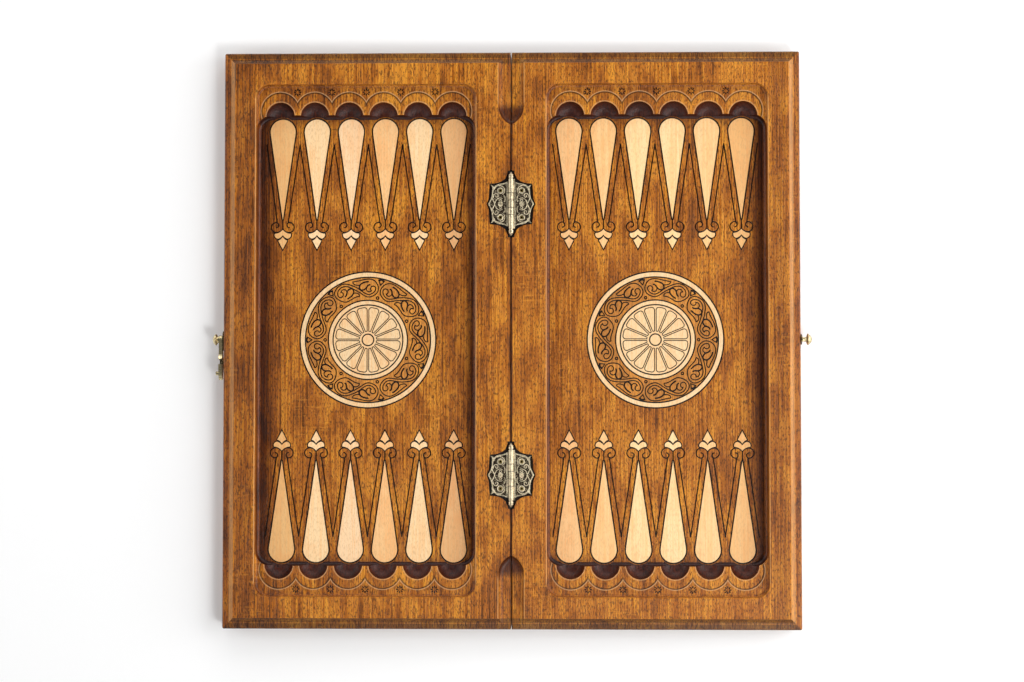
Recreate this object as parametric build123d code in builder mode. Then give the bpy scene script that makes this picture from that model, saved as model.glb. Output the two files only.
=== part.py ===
from build123d import *
import os
from math import asin, copysign, cos, degrees, radians, sin

# A folding chess and backgammon board, lying open with its playing side up.
# X runs across the two halves, Y along the seam between them and Z up. The origin
# is the middle of the seam on the table. The right half is modelled first, and its
# woodwork is turned half round for the left half.

os.makedirs("parts", exist_ok=True)

# Overall sizes
BOARD_SIDE = 500.0
SEAM_GAP = 1.0
THICKNESS = 25.0
HALF_WIDTH = (BOARD_SIDE - SEAM_GAP) / 2
SIDE_X = BOARD_SIDE / 2
END_Y = BOARD_SIDE / 2
SEAM_X = SEAM_GAP / 2
HALF_X = SEAM_X + HALF_WIDTH / 2
ABOVE = THICKNESS + 2.0

# Carved recess of the playing side: a ledge at each of the two ends and the deep floor
# between them, whose side walls stand just inside the recess's own
SEAM_RAIL = 30.25
RECESS_WIDTH = 191.0
RECESS_LENGTH = 443.5
RECESS_X = SEAM_X + SEAM_RAIL + RECESS_WIDTH / 2
RECESS_CORNER = 11.5
RIM_ROUND = 0.8
LEDGE_Z = THICKNESS - 4.8
LEDGE_COVE = 2.5
FLOOR_Z = THICKNESS - 14.5
FLOOR_WIDTH = RECESS_WIDTH - 0.02
FLOOR_LENGTH = 391.6
FLOOR_CORNER = 13.0
FLOOR_COVE = 2.6

# Scalloped pockets at the heads of the points, and the arches carved over them
POINTS = 6
PITCH = 30.0
POCKET_Y = 194.7
POCKET_RADIUS = 12.5
POCKET_COVE = 10.0
POCKET_LIFT = 0.4
ARCH_RADIUS = 16.6
ARCH_Y = 198.9
ARCH_DEPTH = 0.9
FLOWER_Y = 215.7
FLOWER_PETALS = 8
FLOWER_RADIUS = 2.35
FLOWER_DEPTH = 0.6
PETAL_REACH = 1.1
PETAL_SPREAD = 0.62

# Moulding round the outer edges, which turns in along the seam and runs out
MOULDING_WIDTH = 9.8
MOULDING_DEPTH = 6.2
SEAM_MOULDING_WIDTH = 10.4
MOULDING_COVE = 0.45
QUIRK = 0.6
ARRIS_ROUND = 0.4
RUNOUT_Y = 202.0
RUNOUT_RADIUS = 17.0
EDGE_ROUND = 1.5

# Play panel and its engraving
PANEL_THICKNESS = 3.0
PANEL_SETBACK = 0.2
PANEL_LENGTH = FLOOR_LENGTH - 2 * (FLOOR_COVE + PANEL_SETBACK)
PANEL_WIDTH = FLOOR_WIDTH - 2 * (FLOOR_COVE + PANEL_SETBACK)
PANEL_CORNER = FLOOR_CORNER - FLOOR_COVE
FIT_GAP = 0.1
LINE_DEPTH = 1.0
LINE_Z = FLOOR_Z - LINE_DEPTH
LINE_WIDTH = 1.1

# The figures of the panel sit nearer to the seam than the middle of the recess
FIGURE_X = RECESS_X - 0.95

# Points: round heads, long tapers, and a curled figure under each tip
HEAD_Y = 182.4
HEAD_RADIUS = 10.95
TIP_Y = 105.5
POINT_LINE = 1.25
HEAD_MARGIN = 0.8
APEX_Y = 171.1
APEX_X = PITCH / 2
SIDE_APEX_X = 14.3
STEM_FOOT_Y = 97.1
VOLUTE_X = 5.6
VOLUTE_Y = 94.1
BUD_LINE = 1.0

# Medallion
RING_OUTER = 58.75
RING_INNER = 55.3
BAND_OUTER = 54.1
BAND_INNER = 35.2
SMALL_RING_OUTER = 34.0
SMALL_RING_INNER = 31.1
WEB_RADIUS = 29.9
RING_LINE = 1.25
PETALS = 16
PETAL_OUTER = 27.95
PETAL_INNER = 7.9
PETAL_MARGIN = 1.1
PETAL_LINE = 0.8
HUB_HOLE = 5.6
HUB_RADIUS = 4.45

# Scroll band of the medallion: seven scrolls, of which three are reversed
SCROLL_REVERSED = (False, True, False, False, True, False, True)
SCROLL_SPREAD = 360 / len(SCROLL_REVERSED)
SCROLL_MIDDLE = 45.5
SCROLL_LINE = 1.0
LEAF_LINE = 1.35
NODE_RADIUS = 37.5

# Chess field on the outer faces
SQUARE = 50.0
FIELD_SQUARES = 8
FIELD_SIDE = FIELD_SQUARES * SQUARE
STRINGING = 2.0
CHESS_THICKNESS = 1.0

# Hinges
HINGE_Y = 117.1
AXIS_Z = THICKNESS + 0.2
BARREL_RADIUS = 2.28
BORE_RADIUS = 1.15
PIN_RADIUS = 1.1
KNUCKLES = (-21.8, -9.5, -3.2, 3.2, 9.5, 21.8)
KNUCKLE_GAP = 0.15
LEAF_THICKNESS = 1.8
LEAF_Z = THICKNESS - LEAF_THICKNESS
LEAF_GROUND = 0.5
GROOVE_RADIUS = 2.9
GROOVE_REACH = 29.0
NAIL_X = 9.2
NAIL_Y = 11.6
NAIL_SHANK = 0.65
NAIL_HEAD = 1.7
NAIL_HEAD_DEPTH = 0.9
NAIL_LENGTH = 9.0

# Latch on the left side face and catch stud on the right side face
LATCH_REACH = 10.2
HOOK_LENGTH = 19.5
LATCH_Z = AXIS_Z - HOOK_LENGTH / 2
PLATE_THICKNESS = 1.3
HOOK_GAP = 0.3
HOOK_THICKNESS = 2.9
HOOK_HALF_WIDTH = 3.3
HOOK_TAIL = 35.0
HOOK_BELLY = 5.2
NOTCH_RADIUS = 2.3
NOTCH_SWING = 25.0
PIVOT_CLEARANCE = 0.05
NECK_RADIUS = 2.0
SHANK_RADIUS = 1.8
SHANK_LENGTH = 9.0
HEAD_DISC = 4.85


def polar(radius, angle):
    """Vector of the given length that points at angle degrees."""
    return Vector(radius * cos(radians(angle)), radius * sin(radians(angle)))


def advance(point, heading, size, turn):
    """Point and heading after a straight of length size, or an arc of radius size that turns by turn."""
    if turn == 0:
        return point + polar(size, heading), heading
    side = copysign(90, turn)
    centre = point + polar(size, heading + side)
    return centre + polar(size, heading + turn - side), heading + turn


def stroke(start, heading, steps, width):
    """Sketch of an engraved line of constant width, with round ends.

    Each step is (radius, turn) for an arc, with a left turn positive, or (length, 0) for a straight.
    """
    point = Vector(*start)
    first, first_heading = point, heading
    runs = []
    for size, turn in steps:
        half = size if turn else size / 2
        stations = [
            (point, heading),
            advance(point, heading, half, turn / 2),
            advance(point, heading, size, turn),
        ]
        for side in (90, -90):
            corners = [place + polar(width / 2, direction + side) for place, direction in stations]
            runs.append((corners, turn))
        point, heading = stations[-1]
    with BuildSketch(mode=Mode.PRIVATE) as outline:
        with BuildLine():
            for corners, turn in runs:
                if turn:
                    ThreePointArc(*corners)
                else:
                    Line(corners[0], corners[2])
            for place, direction, way in ((first, first_heading, 180), (point, heading, 0)):
                ThreePointArc(
                    place + polar(width / 2, direction + 90),
                    place + polar(width / 2, direction + way),
                    place + polar(width / 2, direction - 90),
                )
        make_face()
    return outline.sketch


def dome_middle(rim, tip):
    """Middle of a round cap's section from its rim to its tip on the X axis, centred on that axis."""
    centre = (tip**2 - rim[0] ** 2 - rim[1] ** 2) / (2 * (tip - rim[0]))
    half_angle = (Vector(*rim) - Vector(centre, 0)) + Vector(tip - centre, 0)
    return Vector(centre, 0) + half_angle.normalized() * abs(tip - centre)


def mirrored_outline(half):
    """Face whose edge is the given open run of edges and its mirror image across the X axis."""
    with BuildSketch(mode=Mode.PRIVATE) as outline:
        with BuildLine() as edge:
            add(half)
            mirror(about=Plane.XZ)
            start = edge.vertices().group_by(Axis.X)[0].sort_by(Axis.Y)
            Line(start[0], start[-1])
        make_face()
    return outline.sketch


def scroll_line(places, width, turned):
    """Sketch of a curved line of the scroll band, with round ends.

    Each place is (angle, radius): degrees clockwise from the top of the band, and the distance
    from the middle of the medallion. A turned line is turned half round the middle of the scroll.
    """
    side, shift = (-1, 2 * SCROLL_MIDDLE) if turned else (1, 0)
    run = [polar(shift + side * radius, 90 - side * angle) for angle, radius in places]
    with BuildLine() as path:
        Spline(*run)
    with BuildSketch(mode=Mode.PRIVATE) as line:
        trace(path.line, line_width=width)
        with Locations(run[0], run[-1]):
            Circle(width / 2)
    return line.sketch


offsets = [(i - (POINTS - 1) / 2) * PITCH for i in range(POINTS)]
point_xs = [FIGURE_X + offset_x for offset_x in offsets]
pocket_xs = [RECESS_X + offset_x for offset_x in offsets]
cusp_xs = [x + PITCH / 2 for x in pocket_xs[:-1]]
nodes = []


# Figures of one point, drawn with the point's centre line on x = 0
taper = asin(HEAD_RADIUS / (HEAD_Y - TIP_Y))
shoulder = Vector(HEAD_RADIUS * cos(taper), HEAD_Y - HEAD_RADIUS * sin(taper))
with BuildSketch() as teardrop:
    with BuildLine():
        ThreePointArc((-shoulder.X, shoulder.Y), (0, HEAD_Y + HEAD_RADIUS), (shoulder.X, shoulder.Y))
        Polyline((shoulder.X, shoulder.Y), (0, TIP_Y), (-shoulder.X, shoulder.Y))
    make_face()

with BuildSketch() as bud_wing:
    with BuildLine():
        ThreePointArc((0, 96.5), (3.2, 93.9), (6.9, 93.0))
        ThreePointArc((6.9, 93.0), (6.7, 90.4), (4.2, 88.8))
        ThreePointArc((4.2, 88.8), (1.9, 89.9), (0, 91.9))
        mirror(about=Plane.YZ)
    make_face()

bud_foot = Vector(0, 79.5)
bud_shoulder = Vector(3.9, 87.0)
with BuildSketch() as bud_tip:
    with BuildLine():
        ThreePointArc((0, 90.3), (1.7, 88.2), bud_shoulder)
        Line(bud_shoulder, bud_foot)
        mirror(about=Plane.YZ)
    make_face()

# The line round the bud's tip ends in a point
bud_side = bud_shoulder - bud_foot
point_root = bud_foot + Vector(bud_side.Y, -bud_side.X).normalized() * BUD_LINE
point_end = (0, bud_foot.Y - BUD_LINE * bud_side.length / bud_side.X)

with BuildSketch() as point_lines:
    offset(teardrop.sketch, amount=POINT_LINE, kind=Kind.ARC, mode=Mode.ADD)
    offset(bud_wing.sketch, amount=BUD_LINE, kind=Kind.ARC, mode=Mode.ADD)
    offset(bud_tip.sketch, amount=BUD_LINE, kind=Kind.ARC, mode=Mode.ADD)
    Polygon((point_root.X, point_root.Y), point_end, (-point_root.X, point_root.Y), align=None)
    with Locations((0, (TIP_Y + STEM_FOOT_Y) / 2)):
        Rectangle(LINE_WIDTH, TIP_Y - STEM_FOOT_Y + LINE_WIDTH)

# The volute leaves the foot of the stem and winds in through three arcs
volute_rise = STEM_FOOT_Y - VOLUTE_Y
volute_start = (VOLUTE_X**2 + volute_rise**2) / (2 * volute_rise)
volute_heading = -degrees(asin(VOLUTE_X / volute_start))
volute = stroke(
    (0, STEM_FOOT_Y),
    volute_heading,
    [(volute_start, -volute_heading), (4.4, 170), (2.3, 185)],
    LINE_WIDTH,
)


def slanted_line(apex_x):
    """Engraved line from beside a point's head down to its volute."""
    foot = Vector(4.7, 102.2)
    run = foot - Vector(apex_x, APEX_Y)
    heading = 180 + degrees(asin(-run.Y / run.length)) if run.X < 0 else 0
    return stroke((apex_x, APEX_Y), heading, [(run.length, 0)], LINE_WIDTH)


# Scroll of the medallion's band, drawn at the top of the ring. Its stem runs back along
# the outer edge, round one end of the scroll, along the inner edge and slantwise across
# the band into a curl. The leaf, the bud and the tip stand inside the stem's bend.
stem = [
    (1.7, 52.4), (-3.5, 52.2), (-8, 52.7), (-13, 53.2), (-17.5, 52.7), (-21.2, 50.5), (-23.8, 46.9),
    (-24.3, 43.6), (-22.9, 40.9), (-18.5, 38.4), (-13.5, 37.5), (-8.5, 38.6), (-4, 41.3), (0, 43.9),
    (4, 46.8), (8, 49.6), (11.5, 51.0), (15, 51.2), (18.6, 49.9), (21.2, 47.2), (21.2, 44.9),
    (18.6, 43.8), (16.2, 44.7), (15.6, 46.4), (16.7, 47.9),
]
upper_leaf = [(-13, 50.9), (-10, 50.6), (-7, 49.8), (-4.6, 48.4), (-3.5, 46.4), (-4.3, 44.4)]
lower_leaf = [(-14.8, 48.2), (-12.9, 47.6), (-11.4, 46.0), (-9.6, 44.5), (-7.2, 43.8), (-4.8, 44.1)]
leaf_bud = [(-17, 43.2), (-15.6, 42.3), (-13.4, 42.1), (-11.5, 43.2), (-11.1, 45.0)]
leaf_tip = [(1.7, 52.4), (1.9, 51.0), (0.3, 49.4), (-2, 48.6), (-4.3, 48.3)]
with BuildSketch() as scroll:
    for turned in (False, True):
        for places in (stem, leaf_bud, leaf_tip):
            add(scroll_line(places, SCROLL_LINE, turned))
        for places in (upper_leaf, lower_leaf):
            add(scroll_line(places, LEAF_LINE, turned))

# Ring and kite between two scrolls
with BuildSketch() as scroll_node:
    with Locations((0, NODE_RADIUS)):
        Circle(1.6)
        Circle(0.55, mode=Mode.SUBTRACT)
    Polygon((-3.2, 53.2), (0, 48.0), (3.2, 53.2), (0, 54.8), align=None)
    Polygon((-1.5, 52.1), (0, 50.0), (1.5, 52.1), (0, 52.9), align=None, mode=Mode.SUBTRACT)

with BuildSketch() as petal:
    spread = 180 / PETALS
    inner_half = PETAL_INNER * sin(radians(spread)) - PETAL_MARGIN
    outer_half = PETAL_OUTER * sin(radians(spread)) - PETAL_MARGIN
    outer_x = (PETAL_OUTER**2 - outer_half**2) ** 0.5
    with BuildLine():
        ThreePointArc((outer_x, -outer_half), (PETAL_OUTER, 0), (outer_x, outer_half))
        Polyline(
            (outer_x, outer_half),
            (PETAL_INNER, inner_half),
            (PETAL_INNER, -inner_half),
            (outer_x, -outer_half),
        )
    make_face()
    fillet(petal.vertices().group_by(Axis.X)[-1], radius=2.0)


# Everything that is cut into the right play panel
upper_figures = []
for i, x in enumerate(point_xs):
    left_apex = SIDE_APEX_X if i == 0 else APEX_X
    right_apex = SIDE_APEX_X if i == POINTS - 1 else APEX_X
    upper_figures.append(Pos(x, 0) * point_lines.sketch)
    upper_figures.append(Pos(x, 0) * volute)
    upper_figures.append(Pos(x, 0) * volute.mirror(Plane.YZ))
    upper_figures.append(Pos(x, 0) * slanted_line(right_apex))
    upper_figures.append(Pos(x, 0) * slanted_line(left_apex).mirror(Plane.YZ))

with BuildSketch() as point_engraving:
    add(upper_figures)
    mirror(about=Plane.XZ)

with BuildSketch() as medallion_engraving:
    with Locations((FIGURE_X, 0)):
        Circle(RING_OUTER + RING_LINE)
        Circle(BAND_OUTER, mode=Mode.SUBTRACT)
        Circle(BAND_INNER)
        for i, is_reversed in enumerate(SCROLL_REVERSED):
            with Locations(Location((0, 0, 0), (0, 0, -90 - (i + 0.5) * SCROLL_SPREAD))):
                add(scroll.sketch.mirror(Plane.YZ) if is_reversed else scroll.sketch)
        with PolarLocations(0, len(SCROLL_REVERSED), start_angle=-90):
            add(scroll_node.sketch)

# Bed of the play panel: it reaches into the pockets round the heads of the points
head_places = [(x, side * HEAD_Y) for x in point_xs for side in (1, -1)]
with BuildSketch() as head_scallops:
    with Locations(*head_places):
        Circle(HEAD_RADIUS + POINT_LINE + HEAD_MARGIN)

with BuildSketch() as panel_bed:
    with Locations((RECESS_X, 0)):
        RectangleRounded(PANEL_WIDTH, PANEL_LENGTH, PANEL_CORNER)
    add(head_scallops.sketch)

with BuildSketch() as panel_outline:
    offset(panel_bed.sketch, amount=-FIT_GAP, kind=Kind.ARC)

with BuildPart() as right_play_panel:
    with BuildSketch(Plane.XY.offset(FLOOR_Z - PANEL_THICKNESS)):
        add(panel_outline.sketch)
    extrude(amount=PANEL_THICKNESS)
    with BuildSketch(Plane.XY.offset(LINE_Z)):
        add(point_engraving.sketch)
        add(medallion_engraving.sketch)
    extrude(amount=2 * LINE_DEPTH, mode=Mode.SUBTRACT)
right_play_panel.part.label = "right_play_panel"
nodes.append(right_play_panel)


# Light inlays of the points and of the buds under them
with BuildPart() as right_point_inlays:
    with BuildSketch(Plane.XY.offset(LINE_Z)):
        for x in point_xs:
            with Locations((x, 0)):
                add(teardrop.sketch)
        mirror(about=Plane.XZ)
    extrude(amount=LINE_DEPTH)
right_point_inlays.part.label = "right_point_inlays"
nodes.append(right_point_inlays)

with BuildPart() as right_bud_inlays:
    with BuildSketch(Plane.XY.offset(LINE_Z)):
        for x in point_xs:
            with Locations((x, 0)):
                add(bud_wing.sketch)
                add(bud_tip.sketch)
        mirror(about=Plane.XZ)
    extrude(amount=LINE_DEPTH)
right_bud_inlays.part.label = "right_bud_inlays"
nodes.append(right_bud_inlays)


# Medallion pieces
with BuildPart() as right_medallion_outer_ring:
    with BuildSketch(Plane.XY.offset(LINE_Z)):
        with Locations((FIGURE_X, 0)):
            Circle(RING_OUTER)
            Circle(RING_INNER, mode=Mode.SUBTRACT)
    extrude(amount=LINE_DEPTH)
right_medallion_outer_ring.part.label = "right_medallion_outer_ring"
nodes.append(right_medallion_outer_ring)

with BuildPart() as right_medallion_inner_ring:
    with BuildSketch(Plane.XY.offset(LINE_Z)):
        with Locations((FIGURE_X, 0)):
            Circle(SMALL_RING_OUTER)
            Circle(SMALL_RING_INNER, mode=Mode.SUBTRACT)
    extrude(amount=LINE_DEPTH)
right_medallion_inner_ring.part.label = "right_medallion_inner_ring"
nodes.append(right_medallion_inner_ring)

with BuildSketch() as petal_hole:
    offset(petal.sketch, amount=PETAL_LINE, kind=Kind.ARC)

with BuildPart() as right_medallion_web:
    with BuildSketch(Plane.XY.offset(LINE_Z)):
        with Locations((FIGURE_X, 0)):
            Circle(WEB_RADIUS)
            with PolarLocations(0, PETALS, start_angle=180 / PETALS):
                add(petal_hole.sketch, mode=Mode.SUBTRACT)
            Circle(HUB_HOLE, mode=Mode.SUBTRACT)
    extrude(amount=LINE_DEPTH)
right_medallion_web.part.label = "right_medallion_web"
nodes.append(right_medallion_web)

with BuildPart() as right_medallion_petals:
    with BuildSketch(Plane.XY.offset(LINE_Z)):
        with Locations((FIGURE_X, 0)):
            with PolarLocations(0, PETALS, start_angle=180 / PETALS):
                add(petal.sketch)
    extrude(amount=LINE_DEPTH)
right_medallion_petals.part.label = "right_medallion_petals"
nodes.append(right_medallion_petals)

with BuildPart() as right_medallion_hub:
    with BuildSketch(Plane.XY.offset(LINE_Z)):
        with Locations((FIGURE_X, 0)):
            Circle(HUB_RADIUS)
    extrude(amount=LINE_DEPTH)
right_medallion_hub.part.label = "right_medallion_hub"
nodes.append(right_medallion_hub)


# Chess field: squares and stringing let into the outer face
field_columns = FIELD_SQUARES // 2
field_edge_x = field_columns * SQUARE


def chess_squares(remainder):
    """Squares of one colour on the right half, each FIT_GAP inside its cell."""
    squares = []
    for column in range(field_columns):
        for row in range(FIELD_SQUARES):
            if (column + row) % 2 != remainder:
                continue
            left = max(column * SQUARE, SEAM_X) + FIT_GAP
            right = (column + 1) * SQUARE - FIT_GAP
            squares.append(((left + right) / 2, (row + 0.5) * SQUARE - FIELD_SIDE / 2, right - left))
    with BuildPart() as field:
        with BuildSketch():
            for x, y, width in squares:
                with Locations((x, y)):
                    Rectangle(width, SQUARE - 2 * FIT_GAP)
        extrude(amount=CHESS_THICKNESS)
    return field


right_chess_light_squares = chess_squares(0)
right_chess_light_squares.part.label = "right_chess_light_squares"
nodes.append(right_chess_light_squares)

right_chess_dark_squares = chess_squares(1)
right_chess_dark_squares.part.label = "right_chess_dark_squares"
nodes.append(right_chess_dark_squares)

with BuildPart() as right_chess_stringing:
    with BuildSketch():
        with Locations(((SEAM_X + field_edge_x + STRINGING) / 2, 0)):
            Rectangle(field_edge_x + STRINGING - SEAM_X, FIELD_SIDE + 2 * STRINGING)
        with Locations(((field_edge_x - SQUARE) / 2, 0)):
            Rectangle(field_edge_x + SQUARE, FIELD_SIDE, mode=Mode.SUBTRACT)
    extrude(amount=CHESS_THICKNESS)
right_chess_stringing.part.label = "right_chess_stringing"
nodes.append(right_chess_stringing)


# Cutters for the carved slab
def moulding_profile(width):
    """Section that the moulding plane removes: x inwards from the edge face, y up."""
    cove_centre_y = THICKNESS - QUIRK
    cove_radius = width * MOULDING_COVE
    with BuildSketch(mode=Mode.PRIVATE) as section:
        with BuildLine():
            arris_x = width + ARRIS_ROUND
            arris_y = THICKNESS - ARRIS_ROUND
            Line((arris_x, ABOVE), (arris_x, THICKNESS))
            ThreePointArc(
                (arris_x, THICKNESS),
                Vector(arris_x, arris_y) + polar(ARRIS_ROUND, 135),
                (width, arris_y),
            )
            Line((width, arris_y), (width, cove_centre_y))
            ThreePointArc(
                (width, cove_centre_y),
                Vector(width - cove_radius, cove_centre_y) + polar(cove_radius, -45),
                (width - cove_radius, cove_centre_y - cove_radius),
            )
            Polyline(
                (width - cove_radius, cove_centre_y - cove_radius),
                (1.0, THICKNESS - MOULDING_DEPTH + 0.7),
                (0, THICKNESS - MOULDING_DEPTH),
                (-3, THICKNESS - MOULDING_DEPTH),
                (-3, ABOVE),
                (arris_x, ABOVE),
            )
        make_face()
    return section.sketch


with BuildPart() as edge_moulding:
    with BuildSketch(Plane(origin=(SIDE_X, -END_Y - 5, 0), x_dir=(-1, 0, 0), z_dir=(0, 1, 0))):
        add(moulding_profile(MOULDING_WIDTH))
    extrude(amount=BOARD_SIDE + 10)
    with BuildSketch(Plane(origin=(SIDE_X + 5, END_Y, 0), x_dir=(0, -1, 0), z_dir=(-1, 0, 0))):
        add(moulding_profile(MOULDING_WIDTH))
    extrude(amount=HALF_WIDTH + 10)
    with BuildSketch(Plane(origin=(SEAM_X - 5, -END_Y, 0), x_dir=(0, 1, 0), z_dir=(1, 0, 0))):
        add(moulding_profile(MOULDING_WIDTH))
    extrude(amount=HALF_WIDTH + 10)

runout_axis_x = SEAM_X + SEAM_MOULDING_WIDTH - RUNOUT_RADIUS
with BuildPart() as seam_moulding:
    with BuildSketch(Plane(origin=(SEAM_X, END_Y + 5, 0), x_dir=(1, 0, 0), z_dir=(0, -1, 0))):
        add(moulding_profile(SEAM_MOULDING_WIDTH))
    extrude(amount=END_Y + 5 - RUNOUT_Y)
    with BuildSketch(Plane(origin=(SEAM_X, RUNOUT_Y, 0), x_dir=(1, 0, 0), z_dir=(0, -1, 0))):
        add(moulding_profile(SEAM_MOULDING_WIDTH))
    revolve(axis=Axis((runout_axis_x, RUNOUT_Y, 0), (0, 0, -1)), revolution_arc=88)
    mirror(about=Plane.XZ)

with BuildPart() as pocket_cutter:
    with BuildSketch(Plane.XZ):
        with BuildLine():
            flat = POCKET_RADIUS - POCKET_COVE
            bottom = FLOOR_Z + POCKET_LIFT
            Line((0, bottom), (flat, bottom))
            ThreePointArc(
                (flat, bottom),
                Vector(flat, bottom + POCKET_COVE) + polar(POCKET_COVE, -45),
                (POCKET_RADIUS, bottom + POCKET_COVE),
            )
            Polyline((POCKET_RADIUS, bottom + POCKET_COVE), (POCKET_RADIUS, ABOVE), (0, ABOVE), (0, bottom))
        make_face()
    revolve(axis=Axis.Z)

# Hinge outlines, with the hinge centre at the origin and the leaf towards +X
with BuildLine() as leaf_edge:
    ThreePointArc((2.9, 19.6), (6.0, 18.2), (9.2, 17.6))
    ThreePointArc((9.2, 17.6), (12.3, 16.8), (14.7, 14.9))
    Line((14.7, 14.9), (17.7, 16.7))
    ThreePointArc((17.7, 16.7), (16.4, 14.4), (16.5, 11.8))
    ThreePointArc((16.5, 11.8), (16.7, 7.6), (17.8, 3.7))
    Line((17.8, 3.7), (20.0, 0))
leaf_outline = mirrored_outline(leaf_edge.line)

with BuildLine() as ground_edge:
    ThreePointArc((3.9, 18.0), (6.4, 17.1), (9.3, 16.6))
    ThreePointArc((9.3, 16.6), (12.0, 15.7), (14.4, 13.6))
    ThreePointArc((14.4, 13.6), (15.4, 10.2), (16.0, 6.4))
    Line((16.0, 6.4), (18.6, 0))
ground_outline = mirrored_outline(ground_edge.line)

with BuildLine() as mortise_edge:
    ThreePointArc((-1.0, 31.0), (2.9, 26.7), (4.8, 22.4))
    ThreePointArc((4.8, 22.4), (9.4, 19.2), (15.2, 17.9))
    Polyline((15.2, 17.9), (18.3, 17.7), (19.0, 11.5), (19.3, 5.0), (21.2, 0))
mortise_outline = mirrored_outline(mortise_edge.line)

hinge_ys = (HINGE_Y, -HINGE_Y)
nail_places = [(NAIL_X, y + dy) for y in hinge_ys for dy in (NAIL_Y, -NAIL_Y)]


# Carved slab of the right half
with BuildPart() as right_case:
    with BuildSketch():
        with Locations((HALF_X, 0)):
            Rectangle(HALF_WIDTH, BOARD_SIDE)
    extrude(amount=THICKNESS)
    outer_corners = right_case.edges().filter_by(Axis.Z).filter_by(lambda edge: edge.center().X > HALF_X)
    fillet(outer_corners, radius=EDGE_ROUND)
    outer_foot = right_case.edges().group_by(Axis.Z)[0].filter_by(lambda edge: edge.center().X > 1.0)
    fillet(outer_foot, radius=1.0)

    with BuildSketch(Plane.XY.offset(LEDGE_Z)):
        with Locations((RECESS_X, 0)):
            RectangleRounded(RECESS_WIDTH, RECESS_LENGTH, RECESS_CORNER)
    extrude(amount=ABOVE, mode=Mode.SUBTRACT)
    ledge_foot = right_case.faces().filter_by(Plane.XY).filter_by_position(Axis.Z, LEDGE_Z - 0.1, LEDGE_Z + 0.1)
    fillet(ledge_foot.edges(), radius=LEDGE_COVE)
    rim = right_case.faces().filter_by(Plane.XY).sort_by(Axis.Z)[-1]
    fillet(rim.inner_wires()[0].edges(), radius=RIM_ROUND)

    with BuildSketch(Plane.XY.offset(FLOOR_Z)):
        with Locations((RECESS_X, 0)):
            RectangleRounded(FLOOR_WIDTH, FLOOR_LENGTH, FLOOR_CORNER)
    extrude(amount=ABOVE, mode=Mode.SUBTRACT)
    floor_foot = right_case.faces().filter_by(Plane.XY).filter_by_position(Axis.Z, FLOOR_Z - 0.1, FLOOR_Z + 0.1)
    fillet(floor_foot.edges(), radius=FLOOR_COVE)
    with Locations(*[(x, side * POCKET_Y) for x in pocket_xs for side in (1, -1)]):
        add(pocket_cutter.part, mode=Mode.SUBTRACT)
    with BuildSketch(Plane.XY.offset(FLOOR_Z)):
        add(head_scallops.sketch)
    extrude(amount=FLOOR_COVE, mode=Mode.SUBTRACT)
    with BuildSketch(Plane.XY.offset(LEDGE_Z - ARCH_DEPTH)):
        with Locations(*[(x, side * ARCH_Y) for x in pocket_xs for side in (1, -1)]):
            Circle(ARCH_RADIUS)
    extrude(amount=ARCH_DEPTH, mode=Mode.SUBTRACT)
    with BuildSketch(Plane.XY.offset(LEDGE_Z - FLOWER_DEPTH)):
        with Locations(*[(x, side * FLOWER_Y) for x in cusp_xs for side in (1, -1)]):
            with PolarLocations(FLOWER_RADIUS, FLOWER_PETALS):
                Ellipse(PETAL_REACH, PETAL_SPREAD)
    extrude(amount=FLOWER_DEPTH, mode=Mode.SUBTRACT)

    add(edge_moulding.part, mode=Mode.SUBTRACT)
    add(seam_moulding.part, mode=Mode.SUBTRACT)

    with BuildSketch(Plane.XY.offset(FLOOR_Z - PANEL_THICKNESS)):
        add(panel_bed.sketch)
    extrude(amount=PANEL_THICKNESS, mode=Mode.SUBTRACT)
    with BuildSketch():
        with Locations(((field_edge_x + STRINGING) / 2, 0)):
            Rectangle(field_edge_x + STRINGING, FIELD_SIDE + 2 * STRINGING)
    extrude(amount=CHESS_THICKNESS, mode=Mode.SUBTRACT)

    with BuildSketch(Plane.XY.offset(LEAF_Z)):
        for y in hinge_ys:
            with Locations((0, y)):
                add(mortise_outline)
    extrude(amount=ABOVE, mode=Mode.SUBTRACT)
    with BuildSketch(Plane.XZ.offset(-HINGE_Y)):
        with Locations((0, AXIS_Z)):
            Circle(GROOVE_RADIUS)
    extrude(amount=GROOVE_REACH, both=True, mode=Mode.SUBTRACT)
    with BuildSketch(Plane.XZ.offset(HINGE_Y)):
        with Locations((0, AXIS_Z)):
            Circle(GROOVE_RADIUS)
    extrude(amount=GROOVE_REACH, both=True, mode=Mode.SUBTRACT)
    with BuildSketch(Plane.XY.offset(LEAF_Z)):
        with Locations(*nail_places):
            Circle(NAIL_SHANK)
    extrude(amount=-NAIL_LENGTH, mode=Mode.SUBTRACT)
    with BuildSketch(Plane.YZ.offset(SIDE_X)):
        with Locations((0, LATCH_Z)):
            Circle(SHANK_RADIUS)
    extrude(amount=-SHANK_LENGTH, mode=Mode.SUBTRACT)
right_case.part.label = "right_case"
nodes.insert(0, right_case)

for node in nodes:
    export_step(node.part, f"parts/{node.part.label}.step")

# The left half's woodwork is the right half's, turned half round
PLATE_NAILS = ((5.0, 0.7), (-7.2, 0.7))
for node in nodes:
    with BuildPart() as left:
        add(node.part.rotate(Axis.Z, 180))
        if node is right_case:
            with BuildSketch(Plane.YZ.offset(-SIDE_X)):
                for y, radius in PLATE_NAILS:
                    with Locations((y, LATCH_Z)):
                        Circle(radius)
            extrude(amount=SHANK_LENGTH, mode=Mode.SUBTRACT)
    left.part.label = node.part.label.replace("right_", "left_")
    export_step(left.part, f"parts/{left.part.label}.step")


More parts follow.
